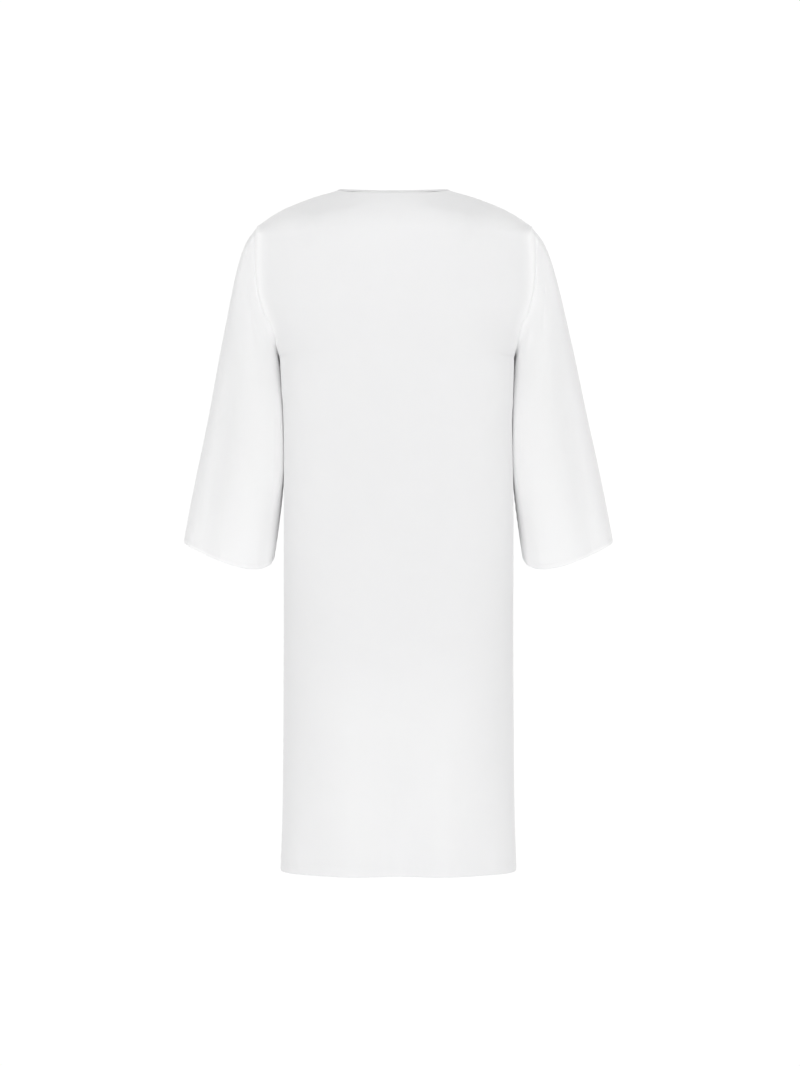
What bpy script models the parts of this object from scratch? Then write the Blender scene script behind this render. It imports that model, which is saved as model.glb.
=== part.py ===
"""A long tunic top with wide three-quarter sleeves, filled out as it is worn.

It has the five pieces that a maker cuts: back, front, two sleeves and a narrow neck binding.
Units are metres and +Z is up. The wearer faces +Y, so the back is at -Y and the right sleeve is at +X.
The origin is midway between the neck points, where the shoulder seams meet the neck.
Heights are given as drops, which are distances down from the neck points.
"""

import math

import bmesh
import bpy
import numpy as np

# Driving sizes of the cut.
LENGTH = 1.020  # neck point to hem
UNDERARM_DROP = 0.255
SHOULDER_DROP = 0.058  # at the top of the armhole seam
SHOULDER_HALF = 0.2035  # from the middle to the armhole seam
CLOTH = 0.0016
SEAM_GAP = 0.0003

# The neck seam, and the binding that stands on it.
NECK_HALF = 0.0835
NECK_DROP = {-1: 0.0150, 1: 0.1300}  # at the back and the front
BINDING_WIDTH = 0.0050
BINDING_THICK = 0.0024

# The shoulders turn over from back to front in a quarter of an ellipse, above a drop.
TURNOVER_DROP = {-1: (0.072, 0.040), 1: (0.110, 0.025)}  # in the middle, and how much lower at the armhole

# Above the underarm a whole section would be wider than the panel, because the arm leaves it there.
OPENED_SECTION = 0.24
ARMHOLE_SCOOP = {-1: 0.0, 1: 0.008}  # how far the front's armhole is cut in

# The worn shoulders lean a little towards -X, and the lean dies out at this drop.
LEAN = 0.0085
LEAN_END_DROP = 0.530

# How square a section of the body is: 2 is an ellipse. It is squarer where the arms hang beside it.
SQUARENESS = {-1: 2.6, 1: 2.3}
ARM_SQUARENESS = {-1: 1.9, 1: 0.9}
ARM_SQUARENESS_DROPS = (0.19, 0.30, 0.46, 0.66)  # it starts, is full, ends being full and has died out
BACK, FRONT = -1, 1

# (drop, half width)
SIDE_SEAM = (
    (0.255, 0.1745),
    (0.330, 0.1712),
    (0.450, 0.1704),
    (0.650, 0.1712),
    (0.850, 0.1722),
    (0.960, 0.1740),
    (1.020, 0.1762),
)

# (drop, depth of the back, depth of the front), each from the plane of the side seams
DEPTHS = (
    (-0.03, 0.118, 0.100),
    (0.080, 0.120, 0.108),
    (0.160, 0.121, 0.121),
    (0.260, 0.119, 0.131),
    (0.360, 0.1165, 0.128),
    (0.500, 0.1175, 0.117),
    (0.660, 0.1225, 0.114),
    (0.820, 0.1195, 0.115),
    (1.020, 0.1135, 0.117),
)

# (distance from the middle, drop); the rows inside the neck only shape the cloth beside it
SHOULDER_LINE = (
    (0.000, -0.0200),
    (0.040, -0.0135),
    (0.0835, 0.0016),
    (0.113, 0.0105),
    (0.148, 0.0235),
    (0.177, 0.0375),
    (0.195, 0.0500),
    (0.2035, 0.0580),
)

# (height up the armhole, 0 at the underarm and 1 at the shoulder; half width of the panel)
ARMHOLE = (
    (0.00, 0.1745),
    (0.15, 0.1800),
    (0.27, 0.1878),
    (0.37, 0.1965),
    (0.47, 0.2030),
    (0.65, 0.2058),
    (0.85, 0.2056),
    (1.00, 0.2035),
)

# (share of the sleeve's length, outer x, outer drop, inner x, inner drop, half depth, forward swing)
SLEEVE_SECTIONS = (
    (0.00, 0.2035, 0.058, 0.1752, 0.255, 0.0760, 0.000),
    (0.07, 0.2198, 0.086, 0.1770, 0.266, 0.0725, 0.000),
    (0.17, 0.2374, 0.133, 0.1762, 0.288, 0.0690, 0.001),
    (0.30, 0.2522, 0.195, 0.1750, 0.326, 0.0660, 0.003),
    (0.44, 0.2670, 0.262, 0.1740, 0.374, 0.0640, 0.006),
    (0.59, 0.2815, 0.334, 0.1738, 0.424, 0.0620, 0.010),
    (0.79, 0.3020, 0.430, 0.1795, 0.490, 0.0595, 0.015),
    (1.00, 0.3195, 0.529, 0.1885, 0.553, 0.0560, 0.020),
)
# How square a section of a sleeve is, at its inner and its outer edge: 1 is an ellipse, and less is squarer.
SLEEVE_SQUARENESS = (0.45, 0.80)
CUFF_DIP = {-1: 0.0215, 1: 0.0160}  # how far the cuff hangs below its ends, at the back and the front
ARMHOLE_BLEND = 0.45  # the share of the sleeve over which the armhole's own shape dies out

# Largest soft folds: (side, x, half width, height, drop where it starts, drop where it is full)
BODY_FOLDS = (
    (BACK, -0.071, 0.034, 0.0080, 0.62, 0.86),
    (BACK, 0.070, 0.032, 0.0080, 0.64, 0.88),
    (BACK, 0.000, 0.030, -0.0080, 0.68, 0.96),
    (FRONT, -0.080, 0.034, 0.0055, 0.42, 0.86),
    (FRONT, 0.064, 0.036, 0.0065, 0.38, 0.90),
    (FRONT, -0.012, 0.030, -0.0045, 0.50, 0.94),
)
# (angle round the sleeve from its outer edge, back first; half width in degrees; height; start; full)
SLEEVE_FOLDS = (
    (57.0, 17.0, -0.0085, 0.20, 0.70),
    (108.0, 26.0, 0.0022, 0.20, 0.60),
    (246.0, 24.0, 0.0022, 0.25, 0.70),
    (298.0, 20.0, -0.0034, 0.35, 0.85),
)

# How finely the pieces are divided.
HALF_COLUMNS = 11  # on each side of a panel's middle
SKIRT_ROWS = 13
ARMHOLE_ROWS = 9
SHOULDER_SHARES = (0.16, 0.34, 0.52, 0.70, 0.85, 0.96, 1.0)  # along the seam from armhole to neck
YOKE_MIDDLE_DROP = {-1: 0.088, 1: 0.172}  # where the row that starts at the shoulder's end crosses the middle
SLEEVE_ROWS = 15
ROW_STEPS = 181  # each half of a row is measured in this many steps
SEAM_STRIP = 0.002  # the cloth runs straight out of a seam for this far, so that its edge is square

FINISHES = {
    "white_cloth": ((0.86, 0.86, 0.865, 1.0), 0.85),
    "white_binding": ((0.88, 0.88, 0.885, 1.0), 0.75),
}


def smooth_curve(rows, column):
    """A function of the table's first column: the natural cubic spline through that column's values."""
    table = np.array(rows, float)
    place, value = table[:, 0], table[:, column]
    step = np.diff(place)
    system = np.eye(len(place))
    rates = np.zeros(len(place))
    for i in range(1, len(place) - 1):
        system[i, i - 1 : i + 2] = step[i - 1], 2 * (step[i - 1] + step[i]), step[i]
        rates[i] = 6 * ((value[i + 1] - value[i]) / step[i] - (value[i] - value[i - 1]) / step[i - 1])
    bend = np.linalg.solve(system, rates)

    def at(x):
        i = int(np.clip(np.searchsorted(place, x) - 1, 0, len(step) - 1))
        a, b = (place[i + 1] - x) / step[i], (x - place[i]) / step[i]
        curl = ((a**3 - a) * bend[i] + (b**3 - b) * bend[i + 1]) * step[i] ** 2 / 6
        return float(a * value[i] + b * value[i + 1] + curl)

    return at


side_half_width = smooth_curve(SIDE_SEAM, 1)
depth_of = {BACK: smooth_curve(DEPTHS, 1), FRONT: smooth_curve(DEPTHS, 2)}
shoulder_line = smooth_curve(SHOULDER_LINE, 1)
armhole_half_width = smooth_curve(ARMHOLE, 1)
sleeve_section = [smooth_curve(SLEEVE_SECTIONS, column) for column in range(1, 7)]


def ease(value, start, end):
    """0 before start, 1 after end, and an S-curve between them."""
    share = min(1.0, max(0.0, (value - start) / (end - start)))
    return share * share * (3 - 2 * share)


def bump(distance, half_width):
    """A soft hill, 1 in the middle and almost 0 at two half widths."""
    return math.exp(-((distance / half_width) ** 2))


def worn(x, y, drop):
    """The point of the worn garment, with the lean of its shoulders."""
    lean = LEAN * max(0.0, 1 - drop / LEAN_END_DROP) ** 2
    return x - lean, y, -drop


def section_depth(side, share, drop):
    """The depth of a section at a share of its half width, as a share of its greatest depth."""
    start, full, end, gone = ARM_SQUARENESS_DROPS
    power = SQUARENESS[side] + ARM_SQUARENESS[side] * ease(drop, start, full) * (1 - ease(drop, end, gone))
    return max(0.0, 1 - min(1.0, abs(share)) ** power) ** (1 / power)


def turnover(side, x, drop):
    """The share of the depth that is left where the cloth turns over the shoulder."""
    middle, lower = TURNOVER_DROP[side]
    start = middle + lower * (x / SHOULDER_HALF) ** 2
    if drop >= start:
        return 1.0
    height = (start - drop) / (start - shoulder_line(abs(x)))
    return math.sqrt(max(0.0, 1 - height * height))


def fold_height(side, x, drop):
    rows = [row for row in BODY_FOLDS if row[0] == side]
    return sum(h * bump(x - middle, w) * ease(drop, start, full) for _, middle, w, h, start, full in rows)


def body_y(side, x, drop):
    """How far forward the worn body's surface lies at x and drop. The wearer's side seams lie at 0."""
    if drop >= UNDERARM_DROP:
        half = side_half_width(drop)
    else:
        height = min(1.0, (UNDERARM_DROP - drop) / (UNDERARM_DROP - SHOULDER_DROP))
        half = armhole_half_width(height) / (1 - OPENED_SECTION * height**1.3)
    depth = depth_of[side](drop) * section_depth(side, x / half, drop) * turnover(side, x, drop)
    return side * (depth + fold_height(side, x, drop))


def armhole_edge(side, height):
    """(half width, drop) of a panel at a height up the armhole, 0 at the underarm and 1 at the shoulder."""
    scoop = ARMHOLE_SCOOP[side] * math.sin(math.pi * height) ** 2
    return armhole_half_width(height) - scoop, UNDERARM_DROP + height * (SHOULDER_DROP - UNDERARM_DROP)


def neck_edge(side, rise):
    """(half width, drop at the shoulder, drop at the middle) of the neck, from its seam to the binding's top."""
    half = NECK_HALF - BINDING_WIDTH * rise
    steepness = 0.78 if side == BACK else 1.0
    return half, shoulder_line(half), NECK_DROP[side] - BINDING_WIDTH * steepness * rise


def panel_rows(side):
    """A panel's rows from the hem up: (half width, drop at the ends, drop in the middle, how round, seam).

    Rows are level in the skirt and bend down round the neck above it. 0 is a shallow curve and 1 an ellipse.
    """
    rows = []
    for i in range(SKIRT_ROWS):
        drop = LENGTH + (UNDERARM_DROP - LENGTH) * i / SKIRT_ROWS
        rows.append((side_half_width(drop), drop, drop, 0.0, "side"))
    for i in range(ARMHOLE_ROWS + 1):
        height = (1 - math.cos(math.pi * i / ARMHOLE_ROWS)) / 2
        half, drop = armhole_edge(side, height)
        middle = UNDERARM_DROP + height * (YOKE_MIDDLE_DROP[side] - UNDERARM_DROP)
        rows.append((half, drop, middle, 0.0, "armhole" if 0 < i < ARMHOLE_ROWS else "side"))
    _, _, neck_middle = neck_edge(side, 0)
    for share in SHOULDER_SHARES:
        half = SHOULDER_HALF + share * (NECK_HALF - SHOULDER_HALF)
        middle = YOKE_MIDDLE_DROP[side] + share * (neck_middle - YOKE_MIDDLE_DROP[side])
        rows.append((half, shoulder_line(half), middle, min(1.0, 2 * share), "shoulder"))
    return rows


def point_on_row(side, row, share):
    """A point of the worn surface on a row, at a share of the row's half width from -1 to 1."""
    half, end_drop, middle_drop, roundness, seam = row
    parabola, ellipse = 1 - share**2, math.sqrt(1 - share**2)
    drop = end_drop + (middle_drop - end_drop) * (parabola + (ellipse - parabola) * roundness)
    on_surface = abs(share) < 1 or seam == "armhole"
    return share * half, body_y(side, share * half, drop) if on_surface else 0.0, drop


def row_points(side, row):
    """The row's points from -X to +X. Next to each end, a row first runs straight out of its seam."""
    halves = []
    for hand in (-1, 1):
        shares = np.cos(np.linspace(0, math.pi / 2, ROW_STEPS)) * hand
        curve = np.array([point_on_row(side, row, share) for share in shares])
        along = np.append(0, np.cumsum(np.linalg.norm(np.diff(curve, axis=0), axis=1)))
        wanted = [along[-1] * (i / HALF_COLUMNS) ** 1.25 for i in range(HALF_COLUMNS + 1)]
        wanted.insert(1, SEAM_STRIP)
        points = np.column_stack([np.interp(wanted, along, curve[:, axis]) for axis in range(3)])
        if row[4] != "armhole":
            points[1] = points[0] + (0, side * SEAM_STRIP, 0)
        halves.append(points)
    return np.concatenate([halves[0], halves[1][-2::-1]])


def armhole_point(angle):
    """A point of the armhole seam at +X: angle goes from the shoulder down the back and up the front."""
    side = BACK if angle <= math.pi else FRONT
    half, drop = armhole_edge(side, (1 + math.cos(angle)) / 2)
    on_panel = 1e-6 < abs(math.sin(angle))
    return half, body_y(side, half, drop) if on_panel else 0.0, drop


def sleeve_point(hand, angle, along):
    """A point of a sleeve: a tilted ellipse that takes the armhole's shape near the armhole."""
    outer_x, outer_drop, inner_x, inner_drop, depth, swing = (curve(along) for curve in sleeve_section)
    for middle, width, height, start, full in SLEEVE_FOLDS:
        turn = (math.degrees(angle) - middle + 180) % 360 - 180
        depth += height * bump(turn, width) * ease(along, start, full)
    side = BACK if angle <= math.pi else FRONT
    share = (1 + math.cos(angle)) / 2
    squareness = SLEEVE_SQUARENESS[0] + (SLEEVE_SQUARENESS[1] - SLEEVE_SQUARENESS[0]) * share
    fullness = math.copysign(abs(math.sin(angle)) ** squareness, math.sin(angle))
    x = inner_x + (outer_x - inner_x) * share
    dip = CUFF_DIP[side] * abs(math.sin(angle)) * (1 - 0.5 * math.cos(angle)) * ease(along, 0.3, 1)
    drop = inner_drop + (outer_drop - inner_drop) * share + dip
    y = swing - depth * fullness
    seam_x, seam_y, seam_drop = armhole_point(angle)
    left = 1 - ease(along, 0, ARMHOLE_BLEND)
    start = [curve(0) for curve in sleeve_section]
    x += (seam_x - start[2] - (start[0] - start[2]) * share) * left
    y += (seam_y + start[4] * fullness) * left
    drop += (seam_drop - start[3] - (start[1] - start[3]) * share) * left
    return hand * (x + SEAM_GAP), y, drop


def cloth(name, columns, rows, place, thickness, offset, finish, closed=False):
    """A sheet: a grid whose points are put in place, given its thickness, and linked as one node.

    place(i, j) is the point of column i and row j. A closed sheet's last column meets its first.
    """
    sheet = bmesh.new()
    bmesh.ops.create_grid(sheet, x_segments=columns, y_segments=rows, size=0.5)
    for vertex in sheet.verts:
        i, j = round((vertex.co.x + 0.5) * columns), round((vertex.co.y + 0.5) * rows)
        vertex.co = worn(*place(i, j))
    if closed:
        bmesh.ops.remove_doubles(sheet, verts=sheet.verts, dist=SEAM_GAP / 10)
    mesh = bpy.data.meshes.new(name)
    sheet.to_mesh(mesh)
    sheet.free()
    mesh.shade_smooth()
    mesh.materials.append(material(finish))
    piece = bpy.data.objects.new(name, mesh)
    garment.objects.link(piece)
    wall = piece.modifiers.new("wall", "SOLIDIFY")
    wall.thickness = thickness
    wall.offset = offset
    wall.use_even_offset = True
    return piece


def material(name):
    found = bpy.data.materials.get(name)
    if found:
        return found
    colour, roughness = FINISHES[name]
    made = bpy.data.materials.new(name)
    made.use_nodes = True
    shader = made.node_tree.nodes["Principled BSDF"]
    shader.inputs["Base Color"].default_value = colour
    shader.inputs["Roughness"].default_value = roughness
    shader.inputs["Metallic"].default_value = 0.0
    return made


def make_panel(name, side):
    """The back or the front, cut from hem to shoulder in one piece."""
    rows = [row_points(side, row) for row in panel_rows(side)]
    # The grid's normals point away from the wearer when its columns run from -X to +X at the back.
    order = 1 if side == BACK else -1

    def place(i, j):
        x, y, drop = rows[j][::order][i]
        return x, y + side * SEAM_GAP / 2, drop

    return cloth(name, len(rows[0]) - 1, len(rows) - 1, place, CLOTH, -1, "white_cloth")


def make_sleeve(name, hand):
    """A sleeve is a tube from the armhole seam to the cuff."""
    around = 2 * ARMHOLE_ROWS

    def place(i, j):
        angle = 2 * math.pi * (hand * i % around) / around
        if j == SLEEVE_ROWS + 1:
            return sleeve_point(hand, angle, 0)
        x, y, drop = sleeve_point(hand, angle, 1 - j / SLEEVE_ROWS)
        if j == SLEEVE_ROWS:
            x += hand * SEAM_STRIP
        return x, y, drop

    return cloth(name, around, SLEEVE_ROWS + 1, place, CLOTH, -1, "white_cloth", closed=True)


def make_binding(name):
    """The binding is a ring that stands on the neck seam, a little proud of the cloth."""
    rings = []
    for rise in (SEAM_GAP / BINDING_WIDTH, 1):
        back, front = [row_points(side, (*neck_edge(side, rise), 1.0, "shoulder")) for side in (BACK, FRONT)]
        rings.append(np.concatenate([back[:-1], front[::-1]]))

    def place(i, j):
        return rings[j][i]

    proud = (BINDING_THICK - CLOTH) / BINDING_THICK - 1
    return cloth(name, len(rings[0]) - 1, 1, place, BINDING_THICK, proud, "white_binding", closed=True)


for leftover in list(bpy.data.objects):
    bpy.data.objects.remove(leftover)
garment = bpy.data.collections.new("tunic_top")
bpy.context.scene.collection.children.link(garment)

make_panel("back_panel", BACK)
make_panel("front_panel", FRONT)
make_sleeve("sleeve_left", -1)
make_sleeve("sleeve_right", 1)
make_binding("neck_binding")
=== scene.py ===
"""The looks of a long white tunic top, filled out as it is worn: thin cloth, soft folds, sewn seams and hems.

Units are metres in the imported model's frame. +Z is up and the wearer faces +Y, so the back is at -Y and the
right sleeve is at +X. Heights are given as drops, which are distances down from the neck points. The hem's
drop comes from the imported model. Each piece of cloth is a thin shell on the form of the solid it stands for.
"""

import math

import bmesh
import bpy
import numpy as np
from mathutils import Matrix, Vector


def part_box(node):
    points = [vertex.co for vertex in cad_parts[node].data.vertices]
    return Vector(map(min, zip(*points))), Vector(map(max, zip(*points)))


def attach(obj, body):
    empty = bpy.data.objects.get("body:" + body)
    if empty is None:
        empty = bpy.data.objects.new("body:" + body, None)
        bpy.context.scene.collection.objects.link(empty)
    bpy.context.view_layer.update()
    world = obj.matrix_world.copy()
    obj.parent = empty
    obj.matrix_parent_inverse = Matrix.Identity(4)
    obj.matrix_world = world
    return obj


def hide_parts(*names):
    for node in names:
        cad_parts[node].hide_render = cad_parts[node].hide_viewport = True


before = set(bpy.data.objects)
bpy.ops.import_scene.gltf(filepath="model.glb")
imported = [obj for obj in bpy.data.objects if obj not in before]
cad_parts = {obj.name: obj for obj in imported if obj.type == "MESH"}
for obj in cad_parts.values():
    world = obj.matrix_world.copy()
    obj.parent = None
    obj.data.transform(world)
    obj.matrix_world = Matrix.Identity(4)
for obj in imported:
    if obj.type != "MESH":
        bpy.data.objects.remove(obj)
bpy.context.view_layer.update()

BACK, FRONT = -1, 1
PANEL_NAME = {BACK: "back_panel", FRONT: "front_panel"}
SLEEVE_NAME = {-1: "sleeve_left", 1: "sleeve_right"}

# The cut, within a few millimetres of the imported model's.
LENGTH = -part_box("back_panel")[0].z
UNDERARM_DROP = 0.255
SHOULDER_DROP = 0.0597  # at the top of the armhole seam
SHOULDER_HALF = 0.2035  # from the middle to the armhole seam
NECK_HALF = 0.0835
NECK_DROP = {BACK: 0.0168, FRONT: 0.1300}
BINDING_WIDTH = 0.0050
# The shoulders turn over from back to front above a drop: (in the middle, how much lower at the armhole)
TURNOVER_DROP = {BACK: (0.072, 0.008), FRONT: (0.110, 0.020)}
OPENED_SECTION = 0.24  # above the underarm a whole section is wider than the panel by this share
ARMHOLE_SCOOP = {BACK: 0.0, FRONT: 0.008}
LEAN = 0.0078  # the worn shoulders lean this far towards -X
LEAN_END_DROP = 0.530
BODY_POWER = {BACK: 2.6, FRONT: 2.3}  # of the body's section: 2 for an ellipse and more for a squarer one
BESIDE_ARM_POWER = {BACK: 1.9, FRONT: 0.9}  # added where the arms hang beside the body
# The power of a sleeve's section, 1 for an ellipse and less for a squarer one: (inner edge, outer edge)
SLEEVE_POWER = (0.05, 0.50)
CUFF_POWER = (0.45, 0.85)
YOKE_MIDDLE_DROP = {BACK: 0.088, FRONT: 0.172}

# (drop, half width)
SIDE_SEAM = (
    (0.255, 0.1745),
    (0.330, 0.1712),
    (0.450, 0.1704),
    (0.650, 0.1712),
    (0.850, 0.1722),
    (0.960, 0.1740),
    (1.020, 0.1762),
)

# (drop, depth of the back, depth of the front), each from the plane of the side seams
DEPTHS = (
    (-0.03, 0.118, 0.100),
    (0.080, 0.120, 0.108),
    (0.160, 0.121, 0.121),
    (0.260, 0.119, 0.131),
    (0.360, 0.1165, 0.128),
    (0.500, 0.1175, 0.117),
    (0.660, 0.1225, 0.114),
    (0.820, 0.1195, 0.115),
    (1.020, 0.1135, 0.117),
)

# (distance from the middle, drop); the rows inside the neck only shape the cloth beside it
SHOULDER_LINE = (
    (0.000, -0.0200),
    (0.040, -0.0125),
    (0.0835, 0.0044),
    (0.113, 0.0130),
    (0.148, 0.0260),
    (0.177, 0.0406),
    (0.195, 0.0531),
    (0.2035, 0.0597),
)

# (height up the armhole, 0 at the underarm and 1 at the shoulder; half width of the panel)
ARMHOLE = (
    (0.00, 0.1745),
    (0.15, 0.1800),
    (0.27, 0.1878),
    (0.37, 0.1965),
    (0.47, 0.2030),
    (0.65, 0.2058),
    (0.85, 0.2056),
    (1.00, 0.2035),
)

# (share of the sleeve's length, outer x, outer drop, inner x, inner drop, half depth, forward swing)
SLEEVE_SECTIONS = (
    (0.00, 0.2035, 0.0597, 0.1752, 0.255, 0.0760, 0.000),
    (0.07, 0.2192, 0.0850, 0.1768, 0.266, 0.0725, 0.000),
    (0.17, 0.2360, 0.133, 0.1756, 0.288, 0.0690, 0.001),
    (0.30, 0.2508, 0.195, 0.1744, 0.326, 0.0660, 0.003),
    (0.44, 0.2652, 0.262, 0.1732, 0.374, 0.0640, 0.006),
    (0.59, 0.2797, 0.334, 0.1733, 0.424, 0.0620, 0.010),
    (0.79, 0.3012, 0.430, 0.1795, 0.490, 0.0595, 0.015),
    (1.00, 0.3212, 0.529, 0.1885, 0.553, 0.0560, 0.020),
)
CUFF_DIP = {BACK: 0.0215, FRONT: 0.0160}
ARMHOLE_BLEND = 0.45
SLEEVE_LIP = 0.0022  # the back half of a sleeve's inner edge reaches this far round the body
SLEEVE_FRONT_GAP = 0.0060  # the front half of a sleeve's inner edge stands this much further off the body

# Long folds that hang in the body: (side, x at the top and at the hem, half width, height,
# drop where it starts and where it is full)
HANGING_FOLDS = (
    (BACK, -0.071, -0.071, 0.034, 0.0080, 0.62, 0.86),
    (BACK, 0.070, 0.070, 0.032, 0.0080, 0.64, 0.88),
    (BACK, 0.000, 0.000, 0.030, -0.0080, 0.68, 0.96),
    (BACK, -0.118, -0.128, 0.013, -0.0016, 0.70, 0.97),
    (BACK, 0.121, 0.126, 0.015, -0.0013, 0.74, 1.00),
    (FRONT, -0.080, -0.080, 0.034, 0.0055, 0.42, 0.86),
    (FRONT, 0.064, 0.064, 0.036, 0.0065, 0.38, 0.90),
    (FRONT, -0.012, -0.012, 0.030, -0.0045, 0.50, 0.94),
    (FRONT, -0.122, -0.134, 0.014, -0.0020, 0.46, 0.98),
    (FRONT, 0.112, 0.124, 0.016, -0.0022, 0.52, 0.96),
)

# Creases that start at a seam: (side, x and drop of each end, sideways bow, half width, height)
CREASES = (
    (BACK, -0.204, 0.160, -0.176, 0.208, 0.006, 0.0042, 0.0030),
    (BACK, -0.200, 0.186, -0.158, 0.262, 0.010, 0.0090, 0.0022),
    (BACK, 0.205, 0.166, 0.180, 0.204, -0.005, 0.0038, 0.0028),
    (BACK, 0.201, 0.190, 0.166, 0.250, -0.009, 0.0085, 0.0024),
    (BACK, -0.122, 0.028, -0.094, 0.108, 0.004, 0.0150, -0.0038),
    (BACK, 0.112, 0.026, 0.098, 0.110, -0.004, 0.0160, -0.0040),
    (BACK, -0.050, 0.022, -0.156, 0.036, -0.003, 0.0110, -0.0022),
    (BACK, 0.042, 0.022, 0.150, 0.036, 0.003, 0.0110, -0.0024),
    (BACK, -0.170, 0.300, -0.120, 0.345, -0.006, 0.0120, 0.0010),
    (BACK, 0.168, 0.318, 0.126, 0.372, 0.006, 0.0120, 0.0011),
    (FRONT, -0.198, 0.160, -0.148, 0.232, 0.008, 0.0055, 0.0019),
    (FRONT, -0.192, 0.186, -0.120, 0.292, 0.012, 0.0105, 0.0020),
    (FRONT, 0.197, 0.168, 0.156, 0.226, -0.007, 0.0050, 0.0017),
    (FRONT, 0.190, 0.196, 0.132, 0.310, -0.013, 0.0110, 0.0021),
    (FRONT, -0.100, 0.036, -0.112, 0.150, 0.006, 0.0150, -0.0014),
    (FRONT, 0.104, 0.032, 0.108, 0.142, -0.006, 0.0160, -0.0015),
    (FRONT, -0.168, 0.330, -0.092, 0.410, -0.010, 0.0140, 0.0016),
    (FRONT, 0.166, 0.306, 0.100, 0.382, 0.010, 0.0130, 0.0015),
)

# Folds along a sleeve: (hand, or 0 for both; angle in degrees from the outer edge, back first, at the top and
# at the cuff; half width in degrees; height; share of the sleeve's length where it starts and is full)
SLEEVE_FOLDS = (
    (0, 57.0, 57.0, 17.0, -0.0085, 0.20, 0.70),
    (0, 166.0, 166.0, 16.0, 0.0060, 0.12, 0.35),
    (0, 194.0, 194.0, 16.0, 0.0060, 0.12, 0.35),
    (0, 108.0, 108.0, 26.0, 0.0022, 0.20, 0.60),
    (0, 246.0, 246.0, 24.0, 0.0022, 0.25, 0.70),
    (0, 298.0, 298.0, 20.0, -0.0034, 0.35, 0.85),
    (-1, 20.0, 24.0, 12.0, 0.0012, 0.45, 0.90),
    (1, 24.0, 20.0, 13.0, 0.0014, 0.40, 0.85),
    (-1, 150.0, 140.0, 11.0, -0.0015, 0.30, 0.70),
    (1, 146.0, 142.0, 12.0, -0.0013, 0.35, 0.75),
    (-1, 214.0, 222.0, 12.0, -0.0016, 0.25, 0.80),
    (1, 210.0, 220.0, 13.0, -0.0015, 0.30, 0.85),
)

# Pinches where a sleeve leaves its armhole: (hand, angle in degrees, share of the sleeve's length,
# half length as such a share, half width in degrees, height)
SLEEVE_PINCHES = (
    (-1, 74.0, 0.105, 0.026, 7.0, 0.0017),
    (-1, 92.0, 0.150, 0.040, 6.0, 0.0014),
    (-1, 118.0, 0.120, 0.040, 7.0, 0.0016),
    (1, 70.0, 0.110, 0.024, 6.0, 0.0019),
    (1, 86.0, 0.160, 0.036, 6.0, 0.0013),
    (1, 122.0, 0.130, 0.042, 7.0, 0.0015),
    (-1, 236.0, 0.130, 0.045, 7.0, 0.0019),
    (-1, 262.0, 0.170, 0.040, 6.0, 0.0013),
    (1, 240.0, 0.120, 0.042, 7.0, 0.0018),
    (1, 270.0, 0.160, 0.045, 7.0, 0.0014),
)

# Cloth and sewing.
CLOTH = 0.0007
DOUBLED = 0.0016  # where a hem or a seam allowance is turned inside
SEAM_LINE = 0.0001  # left between two pieces that meet at a seam
SEAM_RISE = 0.0006  # the cloth stands this much above its seams
SEAM_WIDTH = 0.0030
ALLOWANCE = 0.010
BODY_HEM = 0.014
CUFF_HEM = 0.009
SLEEVE_RISE = 0.0016  # a sleeve stands this much above the armhole's edge once it has left the seam
THREAD = 0.00034
STITCH_LENGTH = 0.0024
STITCH_PITCH = 0.0032
STITCHES_FROM_FOLD = 0.0015  # below the turned edge of a hem

# The binding is folded over the neck: (share of its width above the seam, distance outwards)
BINDING_FOLD = (
    (0.00, 0.0004),
    (0.03, 0.0008),
    (0.30, 0.0009),
    (0.65, 0.0009),
    (0.86, 0.0007),
    (0.96, 0.0002),
    (1.00, -0.0004),
    (0.96, -0.0010),
    (0.86, -0.0015),
    (0.50, -0.0017),
    (0.00, -0.0017),
)
BINDING_CLOTH = 0.0005

# How finely the cloth is divided: short steps beside its edges, and even ones between them.
EDGE_STEPS = (0.0004, 0.0008, 0.0012, 0.0016, 0.0022, 0.0028, 0.0032)
SKIRT_ROWS = 178
ARMHOLE_ROWS = 62
SHOULDER_ROWS = 40
PANEL_COLUMNS = 132
SLEEVE_ROWS = 140
SLEEVE_COLUMNS = 140
NECK_COLUMNS = 110
ROW_STEPS = 721
SLEEVE_RUN = 0.41  # a sleeve's length halfway round, for the spacing of its rows
SHOULDER_RUN = 0.134


# ---- curves and fields ----


def smooth_curve(rows, column):
    """A function of the table's first column: the natural cubic spline through that column's values."""
    table = np.array(rows, float)
    place, value = table[:, 0], table[:, column]
    step = np.diff(place)
    system = np.eye(len(place))
    rates = np.zeros(len(place))
    for i in range(1, len(place) - 1):
        system[i, i - 1 : i + 2] = step[i - 1], 2 * (step[i - 1] + step[i]), step[i]
        rates[i] = 6 * ((value[i + 1] - value[i]) / step[i] - (value[i] - value[i - 1]) / step[i - 1])
    bend = np.linalg.solve(system, rates)

    def at(x):
        i = np.clip(np.searchsorted(place, x) - 1, 0, len(step) - 1)
        a, b = (place[i + 1] - x) / step[i], (x - place[i]) / step[i]
        curl = ((a**3 - a) * bend[i] + (b**3 - b) * bend[i + 1]) * step[i] ** 2 / 6
        return a * value[i] + b * value[i + 1] + curl

    return at


side_half_width = smooth_curve(SIDE_SEAM, 1)
depth_of = {BACK: smooth_curve(DEPTHS, 1), FRONT: smooth_curve(DEPTHS, 2)}
shoulder_line = smooth_curve(SHOULDER_LINE, 1)
armhole_half_width = smooth_curve(ARMHOLE, 1)
sleeve_section = [smooth_curve(SLEEVE_SECTIONS, column) for column in range(1, 7)]


def ease(value, start, end):
    """0 before start, 1 after end, and an S-curve between them."""
    share = np.clip((value - start) / (end - start), 0, 1)
    return share * share * (3 - 2 * share)


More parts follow.
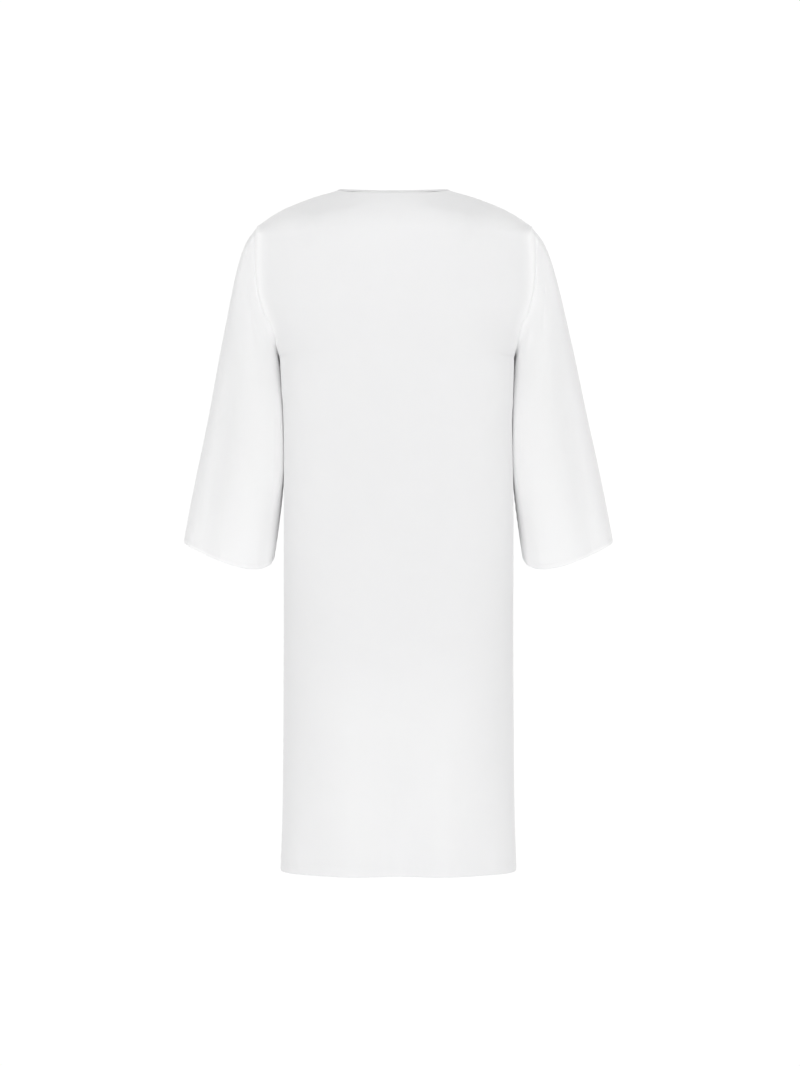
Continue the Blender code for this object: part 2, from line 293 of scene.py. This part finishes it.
def bump(distance, half_width):
    """A soft hill, 1 in the middle and almost 0 at two half widths."""
    return np.exp(-((distance / half_width) ** 2))


def worn(points):
    """The points of the worn garment, with the lean of its shoulders, from (x, y, drop)."""
    x, y, drop = np.moveaxis(np.asarray(points), -1, 0)
    lean = LEAN * np.clip(1 - drop / LEAN_END_DROP, 0, None) ** 2
    return np.stack([x - lean, y, -drop], axis=-1)


def body_y(side, x, drop):
    """How far forward the body's cloth lies at x and drop, without its creases."""
    height = np.clip((UNDERARM_DROP - drop) / (UNDERARM_DROP - SHOULDER_DROP), 0, 1)
    yoke_half = armhole_half_width(height) / (1 - OPENED_SECTION * height**1.3)
    half = np.where(drop >= UNDERARM_DROP, side_half_width(drop), yoke_half)
    beside_arm = ease(drop, 0.19, 0.30) * (1 - ease(drop, 0.46, 0.66))
    power = BODY_POWER[side] + BESIDE_ARM_POWER[side] * beside_arm
    section = np.clip(1 - np.clip(np.abs(x) / half, 0, 1) ** power, 0, 1) ** (1 / power)
    turnover = TURNOVER_DROP[side][0] + TURNOVER_DROP[side][1] * (x / SHOULDER_HALF) ** 2
    above = np.clip((turnover - drop) / (turnover - shoulder_line(np.abs(x))), 0, 1)
    depth = depth_of[side](drop) * section * np.sqrt(1 - above**2)
    for row_side, top_x, hem_x, width, height, start, full in HANGING_FOLDS:
        if row_side == side:
            middle = top_x + (hem_x - top_x) * ease(drop, start, LENGTH)
            depth = depth + height * bump(x - middle, width) * ease(drop, start, full)
    return side * depth


def body_outward(side, x, drop):
    """The body's outward normals at x and drop."""
    reach = 1e-4
    across = (body_y(side, x + reach, drop) - body_y(side, x - reach, drop)) / (2 * reach)
    down = (body_y(side, x, drop + reach) - body_y(side, x, drop - reach)) / (2 * reach)
    normal = side * np.stack([-across, np.ones_like(across), down], axis=-1)
    return normal / np.linalg.norm(normal, axis=-1, keepdims=True)


def crease_height(x, drop, start_x, start_drop, end_x, end_drop, bow, width, height):
    """A soft ridge along a bowed line, fading towards its end, with a shallow trough below it."""
    length = math.hypot(end_x - start_x, end_drop - start_drop)
    run_x, run_drop = (end_x - start_x) / length, (end_drop - start_drop) / length
    along = ((x - start_x) * run_x + (drop - start_drop) * run_drop) / length
    off = (drop - start_drop) * run_x - (x - start_x) * run_drop - 4 * bow * along * (1 - along)
    fade = ease(along, -0.10, 0.20) * (1 - ease(along, 0.45, 1.05))
    trough = off - math.copysign(1.7 * width, run_x)
    return height * fade * (bump(off, width) - 0.45 * bump(trough, width))


def ripple(a, b, seed):
    """Slow unevenness, about -1 to 1, over two lengths in metres."""
    waves = ((9, 4, 0.9), (15, -11, 0.6), (27, 17, 0.4), (-22, 34, 0.3))
    total = sum(size * np.sin(p * a + q * b + seed * (k + 1.7)) for k, (p, q, size) in enumerate(waves))
    return total / 2.2


def pucker(along, away, seed, reach=0.010):
    """Small uneven puckers beside a seam, about -1 to 1: along it, and away from it."""
    wave = np.sin(along * 2 * math.pi / 0.0145 + 1.3 * np.sin(along * 31 + seed))
    swell = 0.5 + 0.5 * np.sin(along * 47 + seed * 2.1)
    return wave * swell * bump(away - 0.004, reach) * ease(away, 0, 0.004)


def hem_shape(up, along, width, seed):
    """A narrow turned hem: rounded at its edge, with a groove along its stitches."""
    rounding = -0.0006 * bump(up, 0.0009)
    groove = -0.00035 * bump(up - width + STITCHES_FROM_FOLD, 0.0011)
    wave = np.sin(along * 2 * math.pi / 0.021 + 1.7 * np.sin(along * 23 + seed))
    return rounding + groove + 0.00028 * wave * bump(up - width, 0.009)


# ---- sheets of cloth ----


def spaced(length, count):
    """count steps from 0 to length, short beside both ends."""
    ends = np.cumsum(EDGE_STEPS)
    middle = np.linspace(ends[-1], length - ends[-1], count + 1 - 2 * len(ends))
    return np.concatenate([[0], ends[:-1], middle, (length - ends[:-1])[::-1], [length]])


def spaced_from_edge(length, count):
    """count steps from 0 to length, short beside the start only."""
    ends = np.cumsum(EDGE_STEPS)
    return np.concatenate([[0], ends[:-1], np.linspace(ends[-1], length, count + 1 - len(ends))])


def lengths_along(points, axis):
    """The distance of each point from the first one, measured along the cloth."""
    steps = np.linalg.norm(np.diff(points, axis=axis), axis=-1)
    start = np.zeros_like(np.take(steps, [0], axis=axis))
    return np.concatenate([start, np.cumsum(steps, axis=axis)], axis=axis)


def resampled(fine, wanted):
    """The points at the wanted distances along a line of closely spaced points."""
    along = lengths_along(fine, 0)
    return np.stack([np.interp(wanted(along[-1]), along, fine[:, axis]) for axis in range(3)], axis=-1)


def outward(points):
    """The normals of a grid whose columns run to the right and whose rows run up, seen from outside."""
    normal = np.cross(np.gradient(points, axis=1), np.gradient(points, axis=0))
    return normal / np.linalg.norm(normal, axis=-1, keepdims=True)


def sheet_of_cloth(name, points, finish, thickness, layers=None, painted_highlight=None, closed=False):
    """A thin shell: a grid laid on the points, unwrapped to its flat lengths and given its thickness.

    layers is the share of the thickness at each point. The painted highlight is 1 where the colour is painted
    whitest, standing in for light the cloth would catch. A closed sheet's last column meets its first.
    """
    rows, columns = points.shape[0] - 1, points.shape[1] - 1
    flat_across = lengths_along(points, 1)
    flat_across -= flat_across[:, columns // 2][:, None]
    flat_up = lengths_along(points, 0)
    layers = np.ones(points.shape[:2]) if layers is None else layers
    painted_highlight = np.zeros(points.shape[:2]) if painted_highlight is None else painted_highlight
    if closed:
        points[:, -1] = points[:, 0]
    cloth = bmesh.new()
    bmesh.ops.create_grid(cloth, x_segments=columns, y_segments=rows, size=0.5)
    unwrapped = cloth.loops.layers.uv.new("flat")
    weights = cloth.verts.layers.deform.verify()
    painted_whitening = cloth.verts.layers.float.new("painted_highlight")
    spots = [(round((v.co.y + 0.5) * rows), round((v.co.x + 0.5) * columns)) for v in cloth.verts]
    cloth.verts.index_update()
    for face in cloth.faces:
        for loop in face.loops:
            spot = spots[loop.vert.index]
            loop[unwrapped].uv = flat_across[spot], flat_up[spot]
    for vertex, spot in zip(cloth.verts, spots):
        vertex.co = points[spot]
        vertex[weights][0] = float(layers[spot])
        vertex[painted_whitening] = float(painted_highlight[spot])
    if closed:
        bmesh.ops.remove_doubles(cloth, verts=cloth.verts, dist=1e-5)
    piece = finished(name, cloth, finish)
    piece.vertex_groups.new(name="layers")
    wall = piece.modifiers.new("cloth", "SOLIDIFY")
    wall.thickness = thickness
    wall.offset = -1
    wall.vertex_group = "layers"
    return piece


def finished(name, shape, finish):
    """The bmesh as a piece of the garment, smooth and with its finish."""
    mesh = bpy.data.meshes.new(name)
    shape.to_mesh(mesh)
    shape.free()
    mesh.shade_smooth()
    mesh.materials.append(finish)
    piece = bpy.data.objects.new(name, mesh)
    bpy.context.scene.collection.objects.link(piece)
    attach(piece, "root")
    return piece


def layers_shown(*turned_in):
    """The share of the full thickness: whole where cloth is turned inside, and a single layer elsewhere."""
    whole = np.maximum.reduce(turned_in)
    return CLOTH / DOUBLED + (1 - CLOTH / DOUBLED) * whole


def turned_in(distance, width):
    """1 within the width from an edge, and 0 beyond it."""
    return 1 - ease(distance, width - 0.001, width)


def line_across(points, up, distance):
    """The line on a grid of cloth at a distance up from its first row, and the normals there."""
    columns = range(points.shape[1])
    return tuple(
        np.array([[np.interp(distance, up[:, i], grid[:, i, axis]) for axis in range(3)] for i in columns])
        for grid in (points, outward(points))
    )


def stitch_row(name, lines, finish):
    """Short stitches along lines of (points, normals), sunk a little into the cloth, in one piece."""
    row = bmesh.new()
    for line, normals in lines:
        along = lengths_along(line, 0)
        count = int(along[-1] / STITCH_PITCH)
        for i in range(count):
            middle = (i + 0.5) * along[-1] / count
            ends = [
                np.array([np.interp(middle + reach, along, line[:, axis]) for axis in range(3)])
                for reach in (-STITCH_LENGTH / 2, STITCH_LENGTH / 2)
            ]
            normal = np.array([np.interp(middle, along, normals[:, axis]) for axis in range(3)])
            run = ends[1] - ends[0]
            run /= np.linalg.norm(run)
            across = np.cross(normal, run)
            across /= np.linalg.norm(across)
            centre = (ends[0] + ends[1]) / 2 + normal * THREAD * 0.3
            place = Matrix.Identity(4)
            place.col[0][:3] = across * THREAD / 2
            place.col[1][:3] = np.cross(run, across) * THREAD / 2
            place.col[2][:3] = run * STITCH_LENGTH / 2
            place.translation = centre
            bmesh.ops.create_uvsphere(row, u_segments=6, v_segments=4, radius=1.0, matrix=place)
    return finished(name, row, finish)


# ---- the back and the front ----


def panel_rows(side):
    """A panel's rows from the hem up: (half width, drop at the ends, drop in the middle, how round)."""
    rows = []
    for up in spaced_from_edge(LENGTH - UNDERARM_DROP, SKIRT_ROWS)[:-1]:
        drop = LENGTH - up
        rows.append((side_half_width(drop), drop, drop, 0.0))
    for i in range(ARMHOLE_ROWS + 1):
        # Closest at the shoulder, and less close at the underarm.
        up = i / ARMHOLE_ROWS
        height = (1 - math.cos(math.pi * up)) / 2 + 0.35 * up * (1 - up) ** 2
        half = armhole_half_width(height) - ARMHOLE_SCOOP[side] * math.sin(math.pi * height) ** 2
        drop = UNDERARM_DROP + height * (SHOULDER_DROP - UNDERARM_DROP)
        middle = UNDERARM_DROP + height * (YOKE_MIDDLE_DROP[side] - UNDERARM_DROP)
        rows.append((half, drop, middle, 0.0))
    for left in spaced_from_edge(SHOULDER_RUN, SHOULDER_ROWS)[-2::-1]:
        share = 1 - left / SHOULDER_RUN
        half = SHOULDER_HALF + share * (NECK_HALF - SHOULDER_HALF)
        middle = YOKE_MIDDLE_DROP[side] + share * (NECK_DROP[side] - YOKE_MIDDLE_DROP[side])
        rows.append((half, shoulder_line(half), middle, min(1.0, 2 * share)))
    return rows


def row_points(side, row, columns):
    """(x, y, drop) along one of a panel's rows, from -X to +X."""
    half, end_drop, middle_drop, roundness = row
    share = -np.cos(np.linspace(0, math.pi, ROW_STEPS))
    parabola, ellipse = 1 - share**2, np.sqrt(np.clip(1 - share**2, 0, 1))
    drop = end_drop + (middle_drop - end_drop) * (parabola + (ellipse - parabola) * roundness)
    fine = np.stack([share * half, body_y(side, share * half, drop), drop], axis=-1)
    return resampled(fine, lambda length: spaced(length, columns))


def make_panel(side, finish):
    """The back or the front, from the hem up to the shoulders and the neck."""
    rows = panel_rows(side)
    flat = np.array([row_points(side, row, PANEL_COLUMNS) for row in rows])[:, ::-side]
    x, drop = flat[..., 0], flat[..., 2]
    points = worn(flat)
    along, up = lengths_along(points, 1), lengths_along(points, 0)
    from_side = np.minimum(along, along[:, -1:] - along)
    row = np.arange(len(rows))[:, None] - SKIRT_ROWS
    at_armhole = ease(row, 2, 22) * (1 - ease(row, ARMHOLE_ROWS - 6, ARMHOLE_ROWS))
    height = SEAM_RISE * (1 - bump(from_side, SEAM_WIDTH))
    height += 0.0010 * bump(from_side - 0.0060, 0.0042) * at_armhole
    height += 0.00035 * pucker(up, from_side, side * 2 + np.sign(x))
    height += 0.0004 * ripple(x, drop, 3 + side) * ease(from_side, 0, 0.03)
    height += hem_shape(up, along, BODY_HEM, side)
    for row_side, *crease in CREASES:
        if row_side == side:
            height += crease_height(x, drop, *crease) * ease(from_side, 0, 0.004)
    layers = layers_shown(
        turned_in(from_side, ALLOWANCE),
        turned_in(up, BODY_HEM),
        turned_in(up[-1] - up, 0.007),
    )
    # Painted highlight: whiter colour in the bulge of the lower back or front, beside the armholes and the
    # sides, and at the shoulders.
    in_skirt = 1 - ease(row, -12, 8)
    beside_arm = 1 - ease(drop, 0.44, 0.56)
    lit = ease(drop, 0.66, 0.80) * (1 - ease(drop, 0.90, 1.00)) * (1 - ease(np.abs(x), 0.085, 0.150))
    lit *= 1 - 0.45 * bump(x, 0.028) * ease(drop, 0.80, 0.90)
    painted_highlight = 0.8 * (1 - ease(from_side, 0.004, 0.026)) * at_armhole
    painted_highlight += (0.40 + 0.60 * beside_arm) * (1 - ease(from_side, 0.006, 0.050)) * in_skirt + 0.42 * lit
    painted_highlight += 0.6 * ease(np.abs(x), 0.12, 0.17) * (1 - ease(drop, 0.060, 0.085))
    painted_highlight = np.clip(painted_highlight, 0, 1)
    points = points + body_outward(side, x, drop) * height[..., None]
    points[..., 1] += side * SEAM_LINE / 2
    return points, up, sheet_of_cloth(PANEL_NAME[side] + "_cloth", points, finish, DOUBLED, layers, painted_highlight)


# ---- the sleeves ----


def armhole_point(angle):
    """(x, y, drop) of the armhole seam at +X; its angle runs down the back from the shoulder, then up."""
    height = (1 + np.cos(angle)) / 2
    at_back = angle <= math.pi
    scoop = np.where(at_back, ARMHOLE_SCOOP[BACK], ARMHOLE_SCOOP[FRONT])
    half = armhole_half_width(height) - scoop * np.sin(math.pi * height) ** 2
    drop = UNDERARM_DROP + height * (SHOULDER_DROP - UNDERARM_DROP)
    return half, np.where(at_back, body_y(BACK, half, drop), body_y(FRONT, half, drop)), drop


def sleeve_ring(hand, angle, along):
    """(x, y, drop) round a sleeve: a tilted ellipse that takes the armhole's shape near the armhole."""
    outer_x, outer_drop, inner_x, inner_drop, depth, swing = (curve(along) for curve in sleeve_section)
    for fold_hand, top_angle, cuff_angle, width, height, start, full in SLEEVE_FOLDS:
        if fold_hand in (0, hand):
            middle = top_angle + (cuff_angle - top_angle) * along
            turn = (np.degrees(angle) - middle + 180) % 360 - 180
            depth = depth + height * bump(turn, width) * ease(along, start, full)
    share = (1 + np.cos(angle)) / 2
    inner, outer = SLEEVE_POWER
    inner += (CUFF_POWER[0] - inner) * ease(along, 0.55, 0.85)
    outer += (CUFF_POWER[1] - outer) * ease(along, 0.55, 1.00)
    power = inner + (outer - inner) * share
    fullness = np.sign(np.sin(angle)) * np.abs(np.sin(angle)) ** power
    x = inner_x + (outer_x - inner_x) * share
    dip = np.where(angle <= math.pi, CUFF_DIP[BACK], CUFF_DIP[FRONT])
    dip = dip * np.abs(np.sin(angle)) * (1 - 0.5 * np.cos(angle)) * ease(along, 0.3, 1)
    drop = inner_drop + (outer_drop - inner_drop) * share + dip
    y = swing - depth * fullness
    beside_body = ease(along, 0.03, 0.12) * (1 - ease(along, 0.60, 0.80))
    x -= SLEEVE_LIP * np.clip(fullness, 0, 1) ** 3 * (1 - share) ** 6 * beside_body
    x += SLEEVE_FRONT_GAP * np.clip(-fullness, 0, 1) * (1 - share) ** 3 * ease(along, 0.04, 0.24)
    seam_x, seam_y, seam_drop = armhole_point(angle)
    left = 1 - ease(along, 0, ARMHOLE_BLEND)
    start = [curve(0) for curve in sleeve_section]
    x += (seam_x - start[2] - (start[0] - start[2]) * share) * left
    y += (seam_y + start[4] * fullness) * left
    drop += (seam_drop - start[3] - (start[1] - start[3]) * share) * left
    return np.stack([hand * (x + SEAM_LINE), y, drop, angle], axis=-1)


def make_sleeve(hand, finish):
    """A sleeve is a tube from the cuff up to the armhole, sewn together at the underarm."""
    angles = np.mod(math.pi - hand * np.linspace(0, 2 * math.pi, ROW_STEPS), 2 * math.pi)
    shares = 1 - spaced(SLEEVE_RUN, SLEEVE_ROWS) / SLEEVE_RUN
    rings = []
    for along in shares:
        fine = sleeve_ring(hand, angles, along)
        rings.append(resampled(fine[:, :3], lambda length: spaced(length, SLEEVE_COLUMNS)))
    flat = np.array(rings)
    points = worn(flat)
    along, up = lengths_along(points, 1), lengths_along(points, 0)
    from_seam = np.minimum(along, along[:, -1:] - along)
    from_armhole = up[-1] - up
    turn = np.degrees(math.pi - hand * 2 * math.pi * along / along[:, -1:]) % 360
    share = shares[:, None]
    height = SEAM_RISE * (1 - bump(from_seam, SEAM_WIDTH)) * ease(from_armhole, 0, 0.02)
    height += SLEEVE_RISE * ease(from_armhole, 0, 0.030)
    height -= 0.0012 * bump(from_armhole - 0.0040, 0.0030) * np.sin(np.radians(turn)) ** 2
    height += 0.0004 * pucker(along, from_armhole, hand * 3) * ease(from_seam, 0, 0.01)
    height += 0.0003 * pucker(up, from_seam, hand * 5)
    off_body = ease(1 + np.cos(np.radians(turn)), 0, 0.3)
    height += 0.0004 * ripple(flat[..., 0], flat[..., 2], 6 + hand) * ease(from_armhole, 0, 0.05) * off_body
    height += hem_shape(up, along, CUFF_HEM, hand) * ease(from_seam, -0.002, 0.008)
    for pinch_hand, angle, middle, half_length, width, size in SLEEVE_PINCHES:
        if pinch_hand == hand:
            off = (turn - angle + 180) % 360 - 180
            pinch = size * bump(off, width) * bump(share - middle, half_length)
            height += pinch * ease(from_armhole, 0, 0.01)
    layers = layers_shown(
        turned_in(from_seam, ALLOWANCE),
        turned_in(from_armhole, ALLOWANCE),
        turned_in(up, CUFF_HEM),
    )
    # Painted highlight: whiter colour on the inner half, the outer edge, the underarm seam and the cuff's
    # edge.
    from_outer = np.minimum(turn, 360 - turn)
    painted_highlight = bump(from_outer - 112, 34) * (1 - 0.7 * ease(share, 0.65, 1.0))
    painted_highlight += 0.5 * bump(from_outer, 30) * (1 - 0.6 * ease(share, 0.5, 0.9))
    painted_highlight = np.maximum(painted_highlight, (1 - ease(from_seam, 0.030, 0.060)) * (1 - ease(share, 0.6, 0.9)))
    painted_highlight = np.maximum(painted_highlight, (1 - ease(up, 0.0025, 0.0050)) * (1 + np.cos(np.radians(turn))) / 2)
    points = points + outward(points) * height[..., None]
    name = SLEEVE_NAME[hand] + "_cloth"
    return points, up, sheet_of_cloth(name, points, finish, DOUBLED, layers, painted_highlight, closed=True)


# ---- the neck ----


def neck_ring(rise):
    """The neck's edge along the back and then the front, at its seam for a rise of 0 and at its top for 1."""
    half = NECK_HALF - BINDING_WIDTH * rise
    halves = []
    for side, steepness in ((BACK, 0.78), (FRONT, 1.0)):
        row = (half, shoulder_line(half), NECK_DROP[side] - BINDING_WIDTH * steepness * rise, 1.0)
        halves.append(row_points(side, row, NECK_COLUMNS))
    return worn(np.concatenate([halves[0][:-1], halves[1][::-1][:-1]]))


def make_binding(finish):
    """A narrow strip folded over the neck's edge."""
    seam, top = neck_ring(0.0), neck_ring(1.0)
    run = np.roll(seam, -1, axis=0) - np.roll(seam, 1, axis=0)
    normal = np.cross(run, top - seam)
    normal /= np.linalg.norm(normal, axis=-1, keepdims=True)
    along = lengths_along(seam, 0)
    swell = 0.00012 * np.sin(along * 2 * math.pi / 0.009 + 1.5 * np.sin(along * 37))
    rows = []
    for rise, out in BINDING_FOLD:
        bulge = swell * math.sin(math.pi * min(1.0, rise)) if out > 0 else 0 * swell
        rows.append(seam + (top - seam) * rise + normal * (out + bulge)[:, None])
    points = np.array(rows)
    points = np.concatenate([points, points[:, :1]], axis=1)
    strip = sheet_of_cloth("neck_binding_strip", points, finish, BINDING_CLOTH, closed=True)
    line = seam + (top - seam) * 0.24 + normal * 0.0009
    return strip, (np.append(line, line[:1], axis=0), np.append(normal, normal[:1], axis=0))


# ---- finishes ----

# The whiter colour of the painted highlight.
PAINTED_HIGHLIGHT_WHITE = (0.938, 0.938, 0.940, 1)


def new_material(name, roughness, sheen, glow=0.0):
    """A Principled material with its nodes, links and shader. glow is the share of light that enters it."""
    made = bpy.data.materials.new(name)
    made.use_nodes = True
    nodes, links = made.node_tree.nodes, made.node_tree.links
    shader = nodes["Principled BSDF"]
    shader.inputs["Roughness"].default_value = roughness
    shader.inputs["Specular IOR Level"].default_value = 0.25
    shader.inputs["Subsurface Weight"].default_value = glow
    shader.inputs["Subsurface Radius"].default_value = (1, 1, 1)
    shader.inputs["Subsurface Scale"].default_value = 0.0012
    shader.inputs["Sheen Weight"].default_value = sheen
    shader.inputs["Sheen Roughness"].default_value = 0.6
    return made, nodes, links, shader


def node(nodes, kind, **settings):
    """A new node, with its settings and the values of its inputs."""
    made = nodes.new(kind)
    for name, value in settings.items():
        if hasattr(made, name):
            setattr(made, name, value)
        else:
            made.inputs[name.replace("_", " ")].default_value = value
    return made


def woven_cloth(name, pitch, light, shade, roughness):
    """Plain weave: threads of that pitch that pass over and under each other, a little uneven in width."""
    made, nodes, links, shader = new_material(name, roughness, sheen=0.10, glow=0.8)
    flat = node(nodes, "ShaderNodeUVMap", uv_map="flat")
    wave_scale = math.pi / (10 * pitch)
    threads = []
    for direction in ("X", "Y"):
        wave = node(nodes, "ShaderNodeTexWave", bands_direction=direction, Scale=wave_scale)
        links.new(flat.outputs["UV"], wave.inputs["Vector"])
        threads.append(wave)
    over = node(nodes, "ShaderNodeTexChecker", Scale=1 / pitch)
    links.new(flat.outputs["UV"], over.inputs["Vector"])
    weave = node(nodes, "ShaderNodeMix", data_type="FLOAT")
    links.new(over.outputs["Fac"], weave.inputs[0])
    links.new(threads[0].outputs["Fac"], weave.inputs[2])
    links.new(threads[1].outputs["Fac"], weave.inputs[3])
    height = weave.outputs[0]
    for across, up in ((26.0, 900.0), (900.0, 26.0)):
        stretched = node(nodes, "ShaderNodeMapping", Scale=(across, up, 1.0))
        slub = node(nodes, "ShaderNodeTexNoise", Scale=1.0, Detail=2.0)
        links.new(flat.outputs["UV"], stretched.inputs["Vector"])
        links.new(stretched.outputs["Vector"], slub.inputs["Vector"])
        added = node(nodes, "ShaderNodeMath", operation="MULTIPLY_ADD")
        added.inputs[1].default_value = 0.9
        links.new(slub.outputs["Fac"], added.inputs[0])
        links.new(height, added.inputs[2])
        height = added.outputs[0]
    raised = node(nodes, "ShaderNodeBump", Strength=0.35, Distance=0.00012)
    links.new(height, raised.inputs["Height"])
    links.new(raised.outputs["Normal"], shader.inputs["Normal"])
    cloudy = node(nodes, "ShaderNodeTexNoise", Scale=14.0, Detail=3.0)
    links.new(flat.outputs["UV"], cloudy.inputs["Vector"])
    tint = node(nodes, "ShaderNodeMix", data_type="RGBA")
    tint.inputs[6].default_value = shade
    tint.inputs[7].default_value = light
    links.new(cloudy.outputs["Fac"], tint.inputs[0])
    # Painted highlight: the base colour is mixed towards a whiter colour where the painted highlight attribute
    # is high.
    painted_highlight = node(nodes, "ShaderNodeAttribute", attribute_name="painted_highlight")
    painted_whitening = node(nodes, "ShaderNodeMix", data_type="RGBA")
    painted_whitening.inputs[7].default_value = PAINTED_HIGHLIGHT_WHITE
    links.new(painted_highlight.outputs["Fac"], painted_whitening.inputs[0])
    links.new(tint.outputs[2], painted_whitening.inputs[6])
    links.new(painted_whitening.outputs[2], shader.inputs["Base Color"])
    return made


def thread_finish(name):
    """Twisted sewing thread."""
    made, nodes, links, shader = new_material(name, roughness=0.55, sheen=0.2)
    place = node(nodes, "ShaderNodeTexCoord")
    twist = node(nodes, "ShaderNodeTexNoise", Scale=2600.0, Detail=1.0)
    links.new(place.outputs["Object"], twist.inputs["Vector"])
    tint = node(nodes, "ShaderNodeMix", data_type="RGBA")
    tint.inputs[6].default_value = (0.80, 0.80, 0.80, 1)
    tint.inputs[7].default_value = (0.88, 0.88, 0.88, 1)
    links.new(twist.outputs["Fac"], tint.inputs[0])
    links.new(tint.outputs[2], shader.inputs["Base Color"])
    raised = node(nodes, "ShaderNodeBump", Strength=0.3, Distance=0.0001)
    links.new(twist.outputs["Fac"], raised.inputs["Height"])
    links.new(raised.outputs["Normal"], shader.inputs["Normal"])
    return made


# ---- studio ----

# Brightness over a component of the light's direction: (from, to, brightness at from, brightness at to)
BACKDROP_LIGHT = (0.00, 0.75, 0.925, 1.03)  # over Y: a white backdrop, and less light from the room
CEILING_LIGHT = (0.50, 1.0, 1.0, 0.80)  # over Z
SIDE_LIGHT = (0.45, 1.0, 1.0, 0.81)  # over the size of X
LAMP_POWER = 9
LAMP_SIZE = 0.8
LAMP_PLACE = (0.95, -2.8, -0.70)  # and the same at -X
LAMP_AIM = Vector((0, 0, -0.60))

# The camera is level with the garment's waist, and its view is this high at the garment.
CAMERA_PLACE = (0.00225, -4.5, -0.5165)
VIEW_HEIGHT = 1.599


def make_camera():
    """Straight behind the garment."""
    lens = bpy.data.cameras.new("camera")
    lens.sensor_width = 36
    lens.lens = -lens.sensor_width * CAMERA_PLACE[1] / VIEW_HEIGHT
    lens.clip_end = 100
    camera = bpy.data.objects.new("camera", lens)
    camera.location = CAMERA_PLACE
    camera.rotation_euler = (math.pi / 2, 0, 0)
    bpy.context.scene.collection.objects.link(camera)
    bpy.context.scene.camera = camera


def make_floor():
    """A pale disc below the garment, small enough to stay out of the view from behind."""
    disc = bmesh.new()
    bmesh.ops.create_circle(disc, cap_ends=True, segments=96, radius=0.8)
    mesh = bpy.data.meshes.new("floor")
    disc.to_mesh(mesh)
    disc.free()
    made, _, _, shader = new_material("pale_floor", roughness=0.9, sheen=0.0)
    shader.inputs["Base Color"].default_value = (0.80, 0.80, 0.80, 1)
    mesh.materials.append(made)
    floor = bpy.data.objects.new("floor", mesh)
    floor.location = (0, 0, -LENGTH - 0.45)
    bpy.context.scene.collection.objects.link(floor)


def brightness_range(nodes, limits):
    """Brightness that changes evenly between two values of its input."""
    made = node(nodes, "ShaderNodeMapRange")
    for name, value in zip(("From Min", "From Max", "To Min", "To Max"), limits):
        made.inputs[name].default_value = value
    return made


def make_light():
    """White light from all round, weaker from the ceiling and the sides, and two wide soft lamps."""
    world = bpy.data.worlds.new("studio")
    bpy.context.scene.world = world
    world.use_nodes = True
    nodes, links = world.node_tree.nodes, world.node_tree.links
    background = nodes["Background"]
    background.inputs["Color"].default_value = (1, 1, 1, 1)
    direction = node(nodes, "ShaderNodeTexCoord")
    parts = node(nodes, "ShaderNodeSeparateXYZ")
    links.new(direction.outputs["Generated"], parts.inputs[0])
    backdrop = brightness_range(nodes, BACKDROP_LIGHT)
    links.new(parts.outputs["Y"], backdrop.inputs["Value"])
    ceiling = brightness_range(nodes, CEILING_LIGHT)
    links.new(parts.outputs["Z"], ceiling.inputs["Value"])
    sideways = node(nodes, "ShaderNodeMath", operation="ABSOLUTE")
    links.new(parts.outputs["X"], sideways.inputs[0])
    sides = brightness_range(nodes, SIDE_LIGHT)
    links.new(sideways.outputs["Value"], sides.inputs["Value"])
    strength = backdrop.outputs["Result"]
    for dimmer in (ceiling, sides):
        dimmed = node(nodes, "ShaderNodeMath", operation="MULTIPLY")
        links.new(strength, dimmed.inputs[0])
        links.new(dimmer.outputs["Result"], dimmed.inputs[1])
        strength = dimmed.outputs["Value"]
    links.new(strength, background.inputs["Strength"])
    for hand in (-1, 1):
        lamp = bpy.data.lights.new("wide_lamp", "AREA")
        lamp.shape = "SQUARE"
        lamp.size = LAMP_SIZE
        lamp.energy = LAMP_POWER
        placed = bpy.data.objects.new("wide_lamp", lamp)
        placed.location = (hand * LAMP_PLACE[0], *LAMP_PLACE[1:])
        aim = LAMP_AIM - placed.location
        placed.rotation_euler = aim.to_track_quat("-Z", "Y").to_euler()
        bpy.context.scene.collection.objects.link(placed)
    bpy.context.scene.view_settings.view_transform = "Standard"


make_camera()
make_floor()
make_light()

body_finish = woven_cloth(
    "white_cloth",
    pitch=0.00055,
    light=(0.872, 0.872, 0.876, 1),
    shade=(0.856, 0.856, 0.861, 1),
    roughness=0.85,
)
# Painted light: a lighter copy of the white cloth, so that the sleeves look brighter than the body.
lighter_sleeve_finish = woven_cloth(
    "white_cloth_painted_lighter",
    pitch=0.00055,
    light=(0.880, 0.880, 0.883, 1),
    shade=(0.866, 0.866, 0.870, 1),
    roughness=0.85,
)
binding_finish = woven_cloth(
    "white_binding",
    pitch=0.00045,
    light=(0.885, 0.885, 0.888, 1),
    shade=(0.865, 0.865, 0.870, 1),
    roughness=0.75,
)
thread = thread_finish("white_thread")

hem_lines = []
panels = {}
for side in (BACK, FRONT):
    points, up, panels[side] = make_panel(side, body_finish)
    hem_lines.append(line_across(points, up, BODY_HEM - STITCHES_FROM_FOLD))
    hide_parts(PANEL_NAME[side])
hem_stitches = stitch_row("hem_stitches", hem_lines, thread)

sleeves = {}
for hand in (-1, 1):
    points, up, sleeves[hand] = make_sleeve(hand, lighter_sleeve_finish)
    cuff_line = line_across(points, up, CUFF_HEM - STITCHES_FROM_FOLD)
    stitch_row(SLEEVE_NAME[hand] + "_stitches", [cuff_line], thread)
    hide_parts(SLEEVE_NAME[hand])

binding, neck_line = make_binding(binding_finish)
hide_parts("neck_binding")
neck_stitches = stitch_row("neck_stitches", [neck_line], thread)
